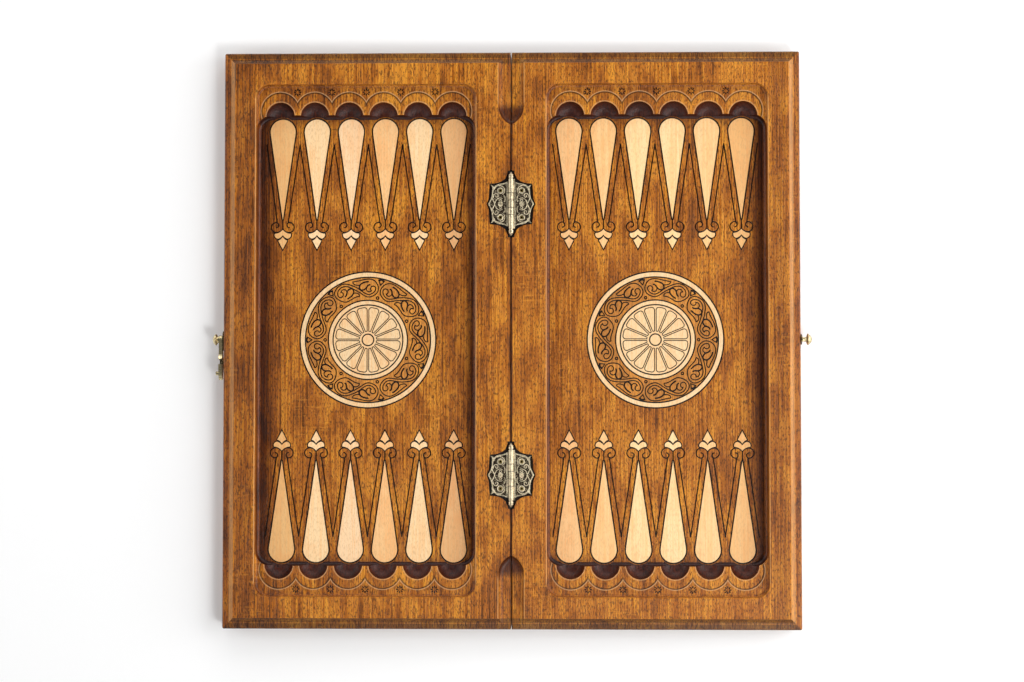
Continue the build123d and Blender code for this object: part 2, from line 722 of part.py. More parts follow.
# Hinge leaves: a cast plate with a raised border, bosses round the nails and its own knuckles
def hinge_leaf(side, y, knuckles):
    """Leaf on one side of the seam (side 1 is right) of the hinge at y, with the knuckles it carries."""
    with BuildPart() as leaf:
        with BuildSketch(Plane.XY.offset(LEAF_Z)):
            add(leaf_outline)
        extrude(amount=LEAF_THICKNESS)
        with BuildSketch(Plane.XY.offset(THICKNESS - LEAF_GROUND)):
            add(ground_outline)
            with Locations((NAIL_X, NAIL_Y), (NAIL_X, -NAIL_Y)):
                Circle(NAIL_HEAD + 0.7, mode=Mode.SUBTRACT)
            with Locations((NAIL_X, 0)):
                RegularPolygon(2.6, 4, rotation=45, mode=Mode.SUBTRACT)
        extrude(amount=LEAF_GROUND, mode=Mode.SUBTRACT)
        for low, high in knuckles:
            length = high - low - 2 * KNUCKLE_GAP
            with BuildSketch(Plane.XZ.offset(-(low + high) / 2)):
                with Locations((0, AXIS_Z)):
                    Circle(BARREL_RADIUS)
                with Locations((1.7, LEAF_Z + LEAF_THICKNESS / 2)):
                    Rectangle(3.4, LEAF_THICKNESS)
            extrude(amount=length / 2, both=True)
        with BuildSketch(Plane.XZ):
            with Locations((0, AXIS_Z)):
                Circle(BORE_RADIUS)
        extrude(amount=30, both=True, mode=Mode.SUBTRACT)
        with Locations((NAIL_X, NAIL_Y, THICKNESS), (NAIL_X, -NAIL_Y, THICKNESS)):
            CounterBoreHole(NAIL_SHANK, NAIL_HEAD, NAIL_HEAD_DEPTH, LEAF_THICKNESS)
    with BuildPart() as placed:
        with Locations((0, y, 0)):
            if side > 0:
                add(leaf.part)
            else:
                add(leaf.part.mirror(Plane.YZ))
    return placed


spans = list(zip(KNUCKLES[:-1], KNUCKLES[1:]))
for level, y in zip(("upper", "lower"), hinge_ys):
    for hand, side, own in (("right", 1, spans[0::2]), ("left", -1, spans[1::2])):
        hinge = hinge_leaf(side, y, own)
        hinge.part.label = f"{hand}_{level}_hinge_leaf"
        export_step(hinge.part, f"parts/{hinge.part.label}.step")


# Hinge pins: a straight pin with a collar and a pointed finial at each end
for level, y in zip(("upper", "lower"), hinge_ys):
    with BuildPart() as hinge_pin:
        with BuildSketch(Plane.XY.offset(AXIS_Z)):
            with BuildLine():
                Polyline(
                    (0, y),
                    (PIN_RADIUS, y),
                    (PIN_RADIUS, y + 21.95),
                    (1.7, y + 21.95),
                    (1.7, y + 22.6),
                    (2.25, y + 22.9),
                    (2.25, y + 24.2),
                    (1.8, y + 24.5),
                )
                ThreePointArc((1.8, y + 24.5), (2.2, y + 25.1), (1.8, y + 25.7))
                Polyline((1.8, y + 25.7), (0.35, y + 27.5), (0, y + 27.5), (0, y))
            make_face()
        revolve(axis=Axis((0, y, AXIS_Z), (0, 1, 0)))
        mirror(about=Plane.XZ.offset(-y))
    hinge_pin.part.label = f"{level}_hinge_pin"
    export_step(hinge_pin.part, f"parts/{hinge_pin.part.label}.step")


# Hinge nails: flush heads with a dimple, four in each half
for hand, side in (("right", 1), ("left", -1)):
    with BuildPart() as hinge_nails:
        nail_points = [(side * x, y) for x, y in nail_places]
        with BuildSketch(Plane.XY.offset(THICKNESS - NAIL_HEAD_DEPTH)):
            with Locations(*nail_points):
                Circle(NAIL_HEAD - 0.05)
        extrude(amount=NAIL_HEAD_DEPTH)
        with BuildSketch(Plane.XY.offset(THICKNESS - NAIL_HEAD_DEPTH)):
            with Locations(*nail_points):
                Circle(NAIL_SHANK - 0.03)
        extrude(amount=-NAIL_LENGTH + 1.0)
        with BuildSketch(Plane.XY.offset(THICKNESS)):
            with Locations(*nail_points):
                Circle(0.6)
        extrude(amount=-0.5, mode=Mode.SUBTRACT)
    hinge_nails.part.label = f"{hand}_hinge_nails"
    export_step(hinge_nails.part, f"parts/{hinge_nails.part.label}.step")


# Latch: base plate, its nails, the pivot and the swinging hook on the left side face
side_plane = Plane(origin=(-SIDE_X, 0, LATCH_Z), x_dir=(0, -1, 0), z_dir=(-1, 0, 0))
hook_start = PLATE_THICKNESS + HOOK_GAP
hook_end = hook_start + HOOK_THICKNESS

with BuildPart() as latch_plate:
    with BuildSketch(side_plane):
        with BuildLine():
            ThreePointArc((-3.0, 3.0), (-6.2, 1.6), (-7.4, 0))
            Line((-3.0, 3.0), (6.5, 3.0))
            ThreePointArc((6.5, 3.0), (8.9, 2.0), (9.6, 0))
            mirror(about=Plane.XZ)
        make_face()
        Circle(SHANK_RADIUS, mode=Mode.SUBTRACT)
        for y, radius in PLATE_NAILS:
            with Locations((-y, 0)):
                Circle(radius, mode=Mode.SUBTRACT)
    extrude(amount=PLATE_THICKNESS)
latch_plate.part.label = "latch_plate"
export_step(latch_plate.part, "parts/latch_plate.step")

with BuildPart() as latch_plate_nails:
    with BuildSketch(side_plane):
        for y, radius in PLATE_NAILS:
            with Locations((-y, 0)):
                Circle(radius - 0.02)
    extrude(amount=PLATE_THICKNESS)
    extrude(latch_plate_nails.faces().filter_by(Plane.YZ).sort_by(Axis.X)[-2:], amount=8.0)
latch_plate_nails.part.label = "latch_plate_nails"
export_step(latch_plate_nails.part, "parts/latch_plate_nails.step")

with BuildPart() as latch_pivot:
    with BuildSketch(Plane.XY.offset(LATCH_Z)):
        with BuildLine():
            head_start = hook_end + 1.9
            Polyline(
                (-SIDE_X + SHANK_LENGTH - 0.5, 0),
                (-SIDE_X + SHANK_LENGTH - 0.5, SHANK_RADIUS),
                (-SIDE_X - hook_end - 0.3, SHANK_RADIUS),
                (-SIDE_X - hook_end - 0.3, 2.9),
                (-SIDE_X - head_start, 2.9),
                (-SIDE_X - head_start, HEAD_DISC - 0.6),
                (-SIDE_X - head_start - 0.6, HEAD_DISC),
                (-SIDE_X - head_start - 1.4, HEAD_DISC),
            )
            head_rim = (-SIDE_X - head_start - 1.4, HEAD_DISC)
            ThreePointArc(head_rim, dome_middle(head_rim, -SIDE_X - LATCH_REACH), (-SIDE_X - LATCH_REACH, 0))
            Line((-SIDE_X - LATCH_REACH, 0), (-SIDE_X + SHANK_LENGTH - 0.5, 0))
        make_face()
    revolve(axis=Axis((0, 0, LATCH_Z), (1, 0, 0)))
latch_pivot.part.label = "latch_pivot"
export_step(latch_pivot.part, "parts/latch_pivot.step")

with BuildPart() as latch_hook:
    with BuildSketch(side_plane.offset(hook_start)):
        with BuildLine():
            ThreePointArc((0, HOOK_HALF_WIDTH + 0.4), (-HOOK_HALF_WIDTH - 0.4, 0), (0, -HOOK_HALF_WIDTH - 0.4))
            Line((0, HOOK_HALF_WIDTH + 0.4), (8.0, 2.4))
            Line((8.0, 2.4), (13.0, 2.6))
            ThreePointArc((13.0, 2.6), (15.0, 3.6), (16.6, 4.6))
            Line((16.6, 4.6), (23.0, 4.6))
            ThreePointArc((23.0, 4.6), (30.0, 3.4), (HOOK_TAIL, 0.6))
            ThreePointArc((HOOK_TAIL, 0.6), (HOOK_TAIL - 1.2, -2.0), (30.5, -3.2))
            ThreePointArc((30.5, -3.2), (22.0, -HOOK_BELLY), (13.0, -3.6))
            ThreePointArc((13.0, -3.6), (6.0, -2.6), (0, -HOOK_HALF_WIDTH - 0.4))
        make_face()
        with BuildLine(mode=Mode.PRIVATE) as swing:
            CenterArc((0, 0), HOOK_LENGTH, 0, NOTCH_SWING)
        SlotArc(swing.edge(), 2 * NOTCH_RADIUS, mode=Mode.SUBTRACT)
        Circle(SHANK_RADIUS + PIVOT_CLEARANCE, mode=Mode.SUBTRACT)
    extrude(amount=HOOK_THICKNESS)
    with BuildSketch(side_plane.offset(hook_end)):
        with Locations((29.3, 0)):
            Circle(1.75)
    extrude(amount=2.8)
latch_hook.part.label = "latch_hook"
export_step(latch_hook.part, "parts/latch_hook.step")


# Catch stud and its washer on the right side face
with BuildPart() as catch_washer:
    with BuildSketch(Plane.YZ.offset(SIDE_X)):
        with Locations((0, LATCH_Z)):
            Circle(4.6)
            Circle(SHANK_RADIUS, mode=Mode.SUBTRACT)
    extrude(amount=PLATE_THICKNESS)
catch_washer.part.label = "catch_washer"
export_step(catch_washer.part, "parts/catch_washer.step")

with BuildPart() as catch_stud:
    with BuildSketch(Plane.XY.offset(LATCH_Z)):
        with BuildLine():
            Polyline(
                (SIDE_X - SHANK_LENGTH + 0.5, 0),
                (SIDE_X - SHANK_LENGTH + 0.5, SHANK_RADIUS),
                (SIDE_X + PLATE_THICKNESS, SHANK_RADIUS),
                (SIDE_X + PLATE_THICKNESS, NECK_RADIUS),
                (SIDE_X + 5.2, NECK_RADIUS),
                (SIDE_X + 6.2, 4.7),
                (SIDE_X + 6.6, 5.0),
                (SIDE_X + 7.2, 5.0),
                (SIDE_X + 7.4, 4.3),
            )
            stud_rim = (SIDE_X + 7.4, 4.3)
            ThreePointArc(stud_rim, dome_middle(stud_rim, SIDE_X + LATCH_REACH), (SIDE_X + LATCH_REACH, 0))
            Line((SIDE_X + LATCH_REACH, 0), (SIDE_X - SHANK_LENGTH + 0.5, 0))
        make_face()
    revolve(axis=Axis((0, 0, LATCH_Z), (1, 0, 0)))
catch_stud.part.label = "catch_stud"
export_step(catch_stud.part, "parts/catch_stud.step")
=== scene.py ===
"""Looks of a folding chess and backgammon board: carved stained beech, pale inlays and cast brass."""

import logging
from collections.abc import Iterable, Sequence
from dataclasses import dataclass
from enum import Enum
from math import radians
from typing import Any

import bpy
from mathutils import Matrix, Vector


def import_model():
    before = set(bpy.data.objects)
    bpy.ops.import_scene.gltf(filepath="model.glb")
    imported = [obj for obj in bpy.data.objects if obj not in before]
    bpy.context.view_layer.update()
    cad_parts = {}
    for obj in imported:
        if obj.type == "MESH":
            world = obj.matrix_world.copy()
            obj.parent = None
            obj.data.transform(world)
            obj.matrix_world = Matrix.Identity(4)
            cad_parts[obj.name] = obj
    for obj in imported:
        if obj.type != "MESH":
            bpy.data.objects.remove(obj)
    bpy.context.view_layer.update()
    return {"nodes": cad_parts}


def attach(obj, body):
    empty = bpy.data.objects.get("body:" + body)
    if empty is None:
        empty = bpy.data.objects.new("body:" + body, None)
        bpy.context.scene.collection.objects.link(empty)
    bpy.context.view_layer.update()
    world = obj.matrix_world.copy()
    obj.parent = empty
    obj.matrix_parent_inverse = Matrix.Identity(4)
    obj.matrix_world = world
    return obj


LOG = logging.getLogger("board")
MM = 0.001
TRAY_MIDDLE = 126.25
PITCH = 30.0
HALF_ROW = 3
SQUARE = 50.0
FAR = 400.0
EDGE_SOFT = 0.15
RING_FADE = 0.6
RING_FADE_LIMIT = 0.5

Colour = tuple[float, float, float, float]
Point = tuple[float, float, float]


class Hand(Enum):
    """Half of the open board, with the sign of its X coordinates."""

    RIGHT = 1
    LEFT = -1

    @property
    def word(self) -> str:
        """Name of the half, as the frame's nodes have it."""
        return self.name.lower()

    @property
    def body(self) -> str:
        """Name of the rigid body that the half is."""
        return f"{self.word}_half"


class Mode(Enum):
    """How a zone's tint joins the colour under it, for stains and burnt lines as for painted shade and
    highlights.
    """

    MULTIPLY = "MULTIPLY"
    MIX = "MIX"


class Mitre(Enum):
    """Part of the board that a tint keeps to, parted by the diagonals through its corners."""

    WHOLE = 0
    ENDS = 1
    SIDES = -1


def srgb(red: int, green: int, blue: int) -> Colour:
    """Linear colour of an sRGB colour written in 0 to 255.

    Args:
        red: Red part.
        green: Green part.
        blue: Blue part.

    Returns:
        The colour with a full alpha.
    """
    parts = [part / 255 for part in (red, green, blue)]
    linear = [
        part / 12.92 if part < 0.04045 else ((part + 0.055) / 1.055) ** 2.4
        for part in parts
    ]
    return (*linear, 1.0)


def deselect_all() -> None:
    """Leaves object mode with nothing selected, so that operators act on new pieces alone."""
    if bpy.context.object and bpy.context.object.mode != "OBJECT":
        bpy.ops.object.mode_set(mode="OBJECT")
    bpy.ops.object.select_all(action="DESELECT")


class Tree:
    """Node tree of a material or a group, with short calls that add nodes and join them."""

    def __init__(self, tree: bpy.types.NodeTree) -> None:
        """Wraps a tree.

        Args:
            tree: Tree that the nodes go into.
        """
        self.tree = tree

    def feed(self, socket: bpy.types.NodeSocket, value: Any) -> None:
        """Links a socket to another one, or sets its plain value.

        Args:
            socket: Input that is fed.
            value: Output socket to link, or the value to set.
        """
        if isinstance(value, bpy.types.NodeSocket):
            self.tree.links.new(value, socket)
        else:
            socket.default_value = value

    def add(self, kind: str, inputs: dict[Any, Any] | None = None, **settings: Any) -> bpy.types.Node:
        """Adds a node.

        Args:
            kind: Blender's name for the node's type.
            inputs: Values or sockets for its inputs, by name or number.
            settings: Properties of the node itself.

        Returns:
            The new node.
        """
        node = self.tree.nodes.new(kind)
        for name, value in settings.items():
            setattr(node, name, value)
        for key, value in (inputs or {}).items():
            self.feed(node.inputs[key], value)
        return node

    def math(
        self, operation: str, first: Any, second: Any = 0.0, clamp: bool = False
    ) -> bpy.types.NodeSocket:
        """Adds a Math node.

        Args:
            operation: Operation's name, such as MULTIPLY.
            first: First value or socket.
            second: Second value or socket.
            clamp: Whether the result is kept within 0 and 1.

        Returns:
            The result's socket.
        """
        node = self.add("ShaderNodeMath", {0: first, 1: second}, operation=operation, use_clamp=clamp)
        return node.outputs[0]

    def vector(self, operation: str, first: Any, second: Any = (0.0, 0.0, 0.0)) -> bpy.types.NodeSocket:
        """Adds a Vector Math node and returns its vector socket.

        Args:
            operation: Operation's name, such as ABSOLUTE.
            first: First vector or socket.
            second: Second vector or socket.

        Returns:
            The result's socket.
        """
        node = self.add("ShaderNodeVectorMath", {0: first}, operation=operation)
        if operation != "ABSOLUTE":
            self.feed(node.inputs[1], second)
        return node.outputs["Vector"]

    def split(self, vector: Any) -> tuple[bpy.types.NodeSocket, ...]:
        """Returns the X, Y and Z sockets of a vector."""
        return tuple(self.add("ShaderNodeSeparateXYZ", {0: vector}).outputs)

    def blend(self, factor: Any, first: Any, second: Any, mode: str = "MIX") -> bpy.types.NodeSocket:
        """Adds a colour Mix node.

        Args:
            factor: How much of the second colour shows, 0 to 1.
            first: Colour or socket at a factor of 0.
            second: Colour or socket at a factor of 1.
            mode: Blend type, such as MIX or MULTIPLY.

        Returns:
            The mixed colour's socket.
        """
        node = self.add("ShaderNodeMix", data_type="RGBA", blend_type=mode)
        for index, value in ((0, factor), (6, first), (7, second)):
            self.feed(node.inputs[index], value)
        return node.outputs[2]

    def span(
        self, value: Any, low: float, high: float, out: tuple[float, float] = (0.0, 1.0)
    ) -> bpy.types.NodeSocket:
        """Maps a value smoothly from low and high onto another range.

        Args:
            value: Value or socket.
            low: Value that gives the first output.
            high: Value that gives the second output.
            out: The two outputs.

        Returns:
            The mapped value's socket.
        """
        inputs = {"Value": value, "From Min": low, "From Max": high, "To Min": out[0], "To Max": out[1]}
        return self.add("ShaderNodeMapRange", inputs, interpolation_type="SMOOTHSTEP").outputs["Result"]

    def ramp(
        self, factor: Any, stops: Sequence[tuple[float, Colour]], stepped: bool = False
    ) -> bpy.types.NodeSocket:
        """Adds a Color Ramp.

        Args:
            factor: Value or socket that is looked up.
            stops: Place and colour of each stop, from low to high.
            stepped: Whether each colour holds until the next stop.

        Returns:
            The colour's socket.
        """
        node = self.add("ShaderNodeValToRGB", {"Fac": factor})
        node.color_ramp.interpolation = "CONSTANT" if stepped else "LINEAR"
        elements = node.color_ramp.elements
        while len(elements) < len(stops):
            elements.new(1.0)
        for element, (place, colour) in zip(elements, stops):
            element.position = place
            element.color = colour
        return node.outputs["Color"]

    def noise(
        self, vector: Any, scale: Point, detail: float = 2.0, roughness: float = 0.5, distort: float = 0.0
    ) -> bpy.types.NodeSocket:
        """Adds a noise stretched by its own scale along each axis.

        Args:
            vector: Place that the noise is read at, in metres.
            scale: Features per metre along X, Y and Z.
            detail: Number of finer layers.
            roughness: Weight of the finer layers.
            distort: How far the pattern is pulled about.

        Returns:
            The noise's value socket, 0 to 1.
        """
        stretched = self.vector("MULTIPLY", vector, scale)
        inputs = {
            "Vector": stretched,
            "Scale": 1.0,
            "Detail": detail,
            "Roughness": roughness,
            "Distortion": distort,
        }
        return self.add("ShaderNodeTexNoise", inputs).outputs["Fac"]


class Effect:
    """Shader node group that is built once and placed in each material with its own values."""

    name = ""
    inputs: tuple[tuple[str, str, Any], ...] = ()
    outputs: tuple[str, ...] = ()

    @classmethod
    def place(cls, tree: Tree, **values: Any) -> dict[str, bpy.types.NodeSocket]:
        """Puts the group into a tree.

        Args:
            tree: Tree of the material that uses the effect.
            values: Values or sockets for the group's inputs, with _ for a blank.

        Returns:
            The group's output sockets by name.
        """
        group = bpy.data.node_groups.get(cls.name) or cls.make()
        node = tree.add("ShaderNodeGroup", node_tree=group)
        for key, value in values.items():
            tree.feed(node.inputs[key.replace("_", " ")], value)
        return {socket.name: socket for socket in node.outputs}

    @classmethod
    def make(cls) -> bpy.types.NodeTree:
        """Builds the group with its named sockets and returns it."""
        group = bpy.data.node_groups.new(cls.name, "ShaderNodeTree")
        for label, kind, default in cls.inputs:
            socket = group.interface.new_socket(name=label, in_out="INPUT", socket_type=f"NodeSocket{kind}")
            if default is not None:
                socket.default_value = default
        for label in cls.outputs:
            group.interface.new_socket(name=label, in_out="OUTPUT", socket_type="NodeSocketFloat")
        tree = Tree(group)
        source = tree.add("NodeGroupInput").outputs
        sink = tree.add("NodeGroupOutput").inputs
        for label, value in cls.fill(tree, {socket.name: socket for socket in source}).items():
            tree.feed(sink[label], value)
        return group

    @classmethod
    def fill(cls, tree: Tree, given: dict[str, bpy.types.NodeSocket]) -> dict[str, bpy.types.NodeSocket]:
        """Adds the effect's own nodes.

        Args:
            tree: Tree of the group.
            given: The group's inputs by name.

        Returns:
            The socket that each output carries.
        """
        raise NotImplementedError


class BeechFigure(Effect):
    """Figure of beech whose fibre runs along Y: streaks, short dark flecks, clouds, staves and curl."""

    name = "beech figure"
    inputs = (("Vector", "Vector", None), ("Shift", "Float", 0.0), ("Stave Width", "Float", 0.07))
    outputs = ("Streak", "Fleck", "Cloud", "Stave", "Curl", "Fibre")

    @classmethod
    def fill(cls, tree: Tree, given: dict[str, bpy.types.NodeSocket]) -> dict[str, bpy.types.NodeSocket]:
        """Adds the nodes of the figure."""
        shift = tree.add("ShaderNodeCombineXYZ", {0: given["Shift"], 1: given["Shift"], 2: given["Shift"]})
        x, _, _ = tree.split(tree.vector("ADD", given["Vector"], (0.5, 0.0, 0.0)))
        shifted = tree.math("ADD", x, given["Shift"])
        number = tree.math("FLOOR", tree.math("DIVIDE", shifted, given["Stave Width"]))
        stave = tree.add("ShaderNodeTexWhiteNoise", {"W": number}, noise_dimensions="1D").outputs["Value"]
        apart = tree.add("ShaderNodeCombineXYZ", {2: tree.math("MULTIPLY", stave, 0.9)}).outputs[0]
        place = tree.vector("ADD", tree.vector("ADD", given["Vector"], shift.outputs[0]), apart)
        ripple = tree.noise(place, (70.0, 480.0, 70.0), 2.0, 0.6, 0.8)
        patch = tree.noise(place, (26.0, 11.0, 26.0), 2.0)
        return {
            "Streak": tree.span(tree.noise(place, (760.0, 13.0, 760.0), 3.0, 0.7, 0.2), 0.34, 0.66),
            "Fleck": tree.span(tree.noise(place, (1050.0, 320.0, 1050.0), 2.0, 0.6), 0.5, 0.63),
            "Cloud": tree.span(tree.noise(place, (48.0, 22.0, 48.0), 5.0, 0.68, 0.4), 0.34, 0.66),
            "Stave": stave,
            "Curl": tree.math("MULTIPLY", tree.span(ripple, 0.54, 0.7), tree.span(patch, 0.52, 0.68)),
            "Fibre": tree.noise(place, (2300.0, 110.0, 2300.0), 3.0, 0.6),
        }


class BoxMask(Effect):
    """Mask of a box that lies the same way in all four quarters of the board."""

    name = "box mask"
    inputs = (
        ("Vector", "Vector", None),
        ("Low", "Vector", (0.0, 0.0, 0.0)),
        ("High", "Vector", (1.0, 1.0, 1.0)),
        ("Soft", "Vector", (0.001, 0.001, 0.001)),
    )
    outputs = ("Mask",)

    @classmethod
    def fill(cls, tree: Tree, given: dict[str, bpy.types.NodeSocket]) -> dict[str, bpy.types.NodeSocket]:
        """Adds the nodes of the mask."""
        place = tree.vector("ABSOLUTE", given["Vector"])
        above = tree.vector("DIVIDE", tree.vector("SUBTRACT", place, given["Low"]), given["Soft"])
        below = tree.vector("DIVIDE", tree.vector("SUBTRACT", given["High"], place), given["Soft"])
        inside = tree.vector("MINIMUM", tree.vector("MINIMUM", above, below), (1.0, 1.0, 1.0))
        x, y, z = tree.split(tree.vector("MAXIMUM", inside, (0.0, 0.0, 0.0)))
        return {"Mask": tree.math("MULTIPLY", tree.math("MULTIPLY", x, y), z)}


class ArchRow(Effect):
    """Distance from the nearest arch's middle, with one arch to each point in all four quarters."""

    name = "arch row"
    inputs = (
        ("Vector", "Vector", None),
        ("Middle", "Float", 0.126),
        ("Pitch", "Float", 0.03),
        ("Across", "Float", 0.2),
    )
    outputs = ("Radius",)
    first_cell = float(-HALF_ROW)
    last_cell = float(HALF_ROW - 1)

    @classmethod
    def fill(cls, tree: Tree, given: dict[str, bpy.types.NodeSocket]) -> dict[str, bpy.types.NodeSocket]:
        """Adds the nodes of the row."""
        x, y, _ = tree.split(tree.vector("ABSOLUTE", given["Vector"]))
        count = tree.math("DIVIDE", tree.math("SUBTRACT", x, given["Middle"]), given["Pitch"])
        whole = tree.math("MAXIMUM", tree.math("FLOOR", count), cls.first_cell)
        cell = tree.math("MINIMUM", whole, cls.last_cell)
        along = tree.math("SUBTRACT", tree.math("SUBTRACT", count, cell), 0.5)
        inputs = {
            0: tree.math("MULTIPLY", along, given["Pitch"]),
            1: tree.math("SUBTRACT", y, given["Across"]),
        }
        offset = tree.add("ShaderNodeCombineXYZ", inputs).outputs[0]
        return {"Radius": tree.add("ShaderNodeVectorMath", {0: offset}, operation="LENGTH").outputs["Value"]}


class Handling(Effect):
    """Smudges and fine scratches that years of play leave in a satin finish."""

    name = "handling"
    inputs = (("Vector", "Vector", None),)
    outputs = ("Smudge", "Scratch")

    @classmethod
    def fill(cls, tree: Tree, given: dict[str, bpy.types.NodeSocket]) -> dict[str, bpy.types.NodeSocket]:
        """Adds the nodes of the wear."""
        hair = tree.noise(given["Vector"], (90.0, 1500.0, 90.0), 1.0, 0.5, 1.2)
        sparse = tree.noise(given["Vector"], (16.0, 16.0, 16.0), 2.0)
        return {
            "Smudge": tree.noise(given["Vector"], (22.0, 22.0, 22.0), 4.0, 0.6),
            "Scratch": tree.math("MULTIPLY", tree.span(hair, 0.74, 0.8), tree.span(sparse, 0.55, 0.65)),
        }


class CastStipple(Effect):
    """Small cells of a sand-cast face and the tarnish that lies among them."""

    name = "cast stipple"
    inputs = (("Vector", "Vector", None), ("Cells", "Float", 1100.0))
    outputs = ("Height", "Tarnish")

    @classmethod
    def fill(cls, tree: Tree, given: dict[str, bpy.types.NodeSocket]) -> dict[str, bpy.types.NodeSocket]:
        """Adds the nodes of the cast face."""
        voronoi = tree.add("ShaderNodeTexVoronoi", {"Vector": given["Vector"], "Scale": given["Cells"]})
        cells = voronoi.outputs["Distance"]
        blotch = tree.noise(given["Vector"], (420.0, 420.0, 420.0), 4.0, 0.65)
        height = tree.span(cells, 0.65, 0.1)
        spots = tree.math("MULTIPLY", blotch, 0.7)
        between = tree.span(cells, 0.2, 0.8, (0.0, 0.3))
        return {"Height": height, "Tarnish": tree.math("ADD", spots, between)}


@dataclass(frozen=True)
class Ring:
    """Row of round bands, the same in all four quarters. Sizes are in millimetres.

    Three bands stand on each side of x, the first half a pitch from it and the others a pitch
    apart. Their middles lie at the distance y from the board's middle. With x close to the seam
    and a pitch almost as wide as a half, only one of them falls in each half.
    """

    x: float
    y: float
    pitch: float
    radius: float
    half_width: float

    def mask(self, tree: Tree, place: Any) -> bpy.types.NodeSocket:
        """Adds the nodes that mask the band.

        Args:
            tree: Tree of the material.
            place: Socket of the place in metres.

        Returns:
            The mask's socket.
        """
        sizes = {"Middle": self.x * MM, "Pitch": self.pitch * MM, "Across": self.y * MM}
        row = ArchRow.place(tree, Vector=place, **sizes)
        gap = tree.math("ABSOLUTE", tree.math("SUBTRACT", row["Radius"], self.radius * MM))
        edge = min(RING_FADE * self.half_width, RING_FADE_LIMIT)
        return tree.span(gap, self.half_width * MM, (self.half_width - edge) * MM)


@dataclass(frozen=True)
class TintZone:
    """A place on the board whose colour differs, the same in all four quarters. Some are stains and burnt
    lines, others painted shade and painted highlights.

    low and high are (distance from the seam, distance from the middle, height) in millimetres,
    and soft is how far the place fades along each. A ring keeps the tint to its bands, and a
    mitre to the board's two ends or its two sides.
    """

    low: Point
    high: Point
    soft: Point
    tint: Colour
    strength: float = 1.0
    ring: Ring | None = None
    mode: Mode = Mode.MULTIPLY
    mitre: Mitre = Mitre.WHOLE

    def lay(self, tree: Tree, place: Any, colour: Any) -> bpy.types.NodeSocket:
        """Lays the zone's tint on a colour, in the zone's own mode, where the zone lies.

        Args:
            tree: Tree of the material.
            place: Socket of the place in metres.
            colour: Socket of the colour so far.

        Returns:
            The stained colour's socket.
        """
        bounds = {
            "Low": [value * MM for value in self.low],
            "High": [value * MM for value in self.high],
            "Soft": [value * MM for value in self.soft],
        }
        mask = tree.math("MULTIPLY", BoxMask.place(tree, Vector=place, **bounds)["Mask"], self.strength)
        if self.mitre is not Mitre.WHOLE:
            x, y, _ = tree.split(tree.vector("ABSOLUTE", place))
            beyond = tree.math("MULTIPLY", tree.math("SUBTRACT", y, x), self.mitre.value)
            mask = tree.math("MULTIPLY", mask, tree.span(beyond, -EDGE_SOFT * MM, EDGE_SOFT * MM))
        if self.ring:
            mask = tree.math("MULTIPLY", mask, self.ring.mask(tree, place))
        return tree.blend(mask, colour, self.tint, self.mode.value)


def blank(name: str) -> tuple[bpy.types.Material, Tree, bpy.types.Node, bpy.types.NodeSocket]:
    """Makes a material with nothing in it yet.

    Args:
        name: Name of the material.

    Returns:
        The material, its tree, its Principled BSDF and the place on the piece in metres.
    """
    material = bpy.data.materials.new(name)
    material.use_nodes = True
    tree = Tree(material.node_tree)
    shader = material.node_tree.nodes["Principled BSDF"]
    return material, tree, shader, tree.add("ShaderNodeTexCoord").outputs["Object"]


@dataclass(frozen=True)
class StainedBeech:
    """Beech stained golden brown under satin lacquer, its fibre along Y."""

    name: str
    dark: Colour = srgb(62, 28, 4)
    body: Colour = srgb(166, 92, 14)
    light: Colour = srgb(222, 148, 44)
    shift: float = 0.0
    stave_width: float = 0.0695
    roughness: float = 0.38
    lacquer: float = 0.08
    tints: tuple[TintZone, ...] = ()
    streak_share: float = 0.46
    cloud_share: float = 0.38
    stave_share: float = 0.16
    curl_shine: float = 0.5
    fleck_depth: float = 0.72
    smudge_depth: float = 0.22
    scratch_depth: float = 0.2

    def material(self) -> bpy.types.Material:
        """Makes the finish.

        Returns:
            The material.
        """
        material, tree, shader, place = blank(self.name)
        figure = BeechFigure.place(tree, Vector=place, Shift=self.shift, Stave_Width=self.stave_width)
        handling = Handling.place(tree, Vector=place)

        tone = tree.math("MULTIPLY", figure["Streak"], self.streak_share)
        tone = tree.math("ADD", tone, tree.math("MULTIPLY", figure["Cloud"], self.cloud_share))
        stave = tree.math("MULTIPLY", figure["Stave"], self.stave_share)
        tone = tree.math("ADD", tone, stave, clamp=True)
        colour = tree.ramp(tone, ((0.02, self.dark), (0.45, self.body), (0.95, self.light)))
        # Curl patches lighter: the figure's own colour with a painted sheen.
        colour = tree.blend(tree.math("MULTIPLY", figure["Curl"], self.curl_shine), colour, self.light)
        colour = tree.blend(tree.math("MULTIPLY", figure["Fleck"], self.fleck_depth), colour, self.dark)
        # Lays the tints: stains and burnt lines, and also painted shade and painted highlights.
        for zone in self.tints:
            colour = zone.lay(tree, place, colour)
        tree.feed(shader.inputs["Base Color"], colour)

        smudge = tree.math("MULTIPLY", handling["Smudge"], self.smudge_depth)
        rough = tree.math("ADD", smudge, self.roughness - self.smudge_depth / 2)
        scratch = tree.math("MULTIPLY", handling["Scratch"], self.scratch_depth)
        tree.feed(shader.inputs["Roughness"], tree.math("ADD", rough, scratch))
        shader.inputs["Coat Weight"].default_value = self.lacquer
        shader.inputs["Coat Roughness"].default_value = 0.3
        shader.inputs["Specular IOR Level"].default_value = 0.3
        ridges = tree.math("MULTIPLY", figure["Streak"], 0.7)
        relief = tree.math("ADD", ridges, tree.math("MULTIPLY", figure["Fibre"], 0.5))
        relief = tree.math("SUBTRACT", relief, tree.math("MULTIPLY", figure["Fleck"], 0.25))
        bump = tree.add("ShaderNodeBump", {"Height": relief, "Strength": 0.55, "Distance": 0.0004})
        tree.feed(shader.inputs["Normal"], bump.outputs["Normal"])
        return material


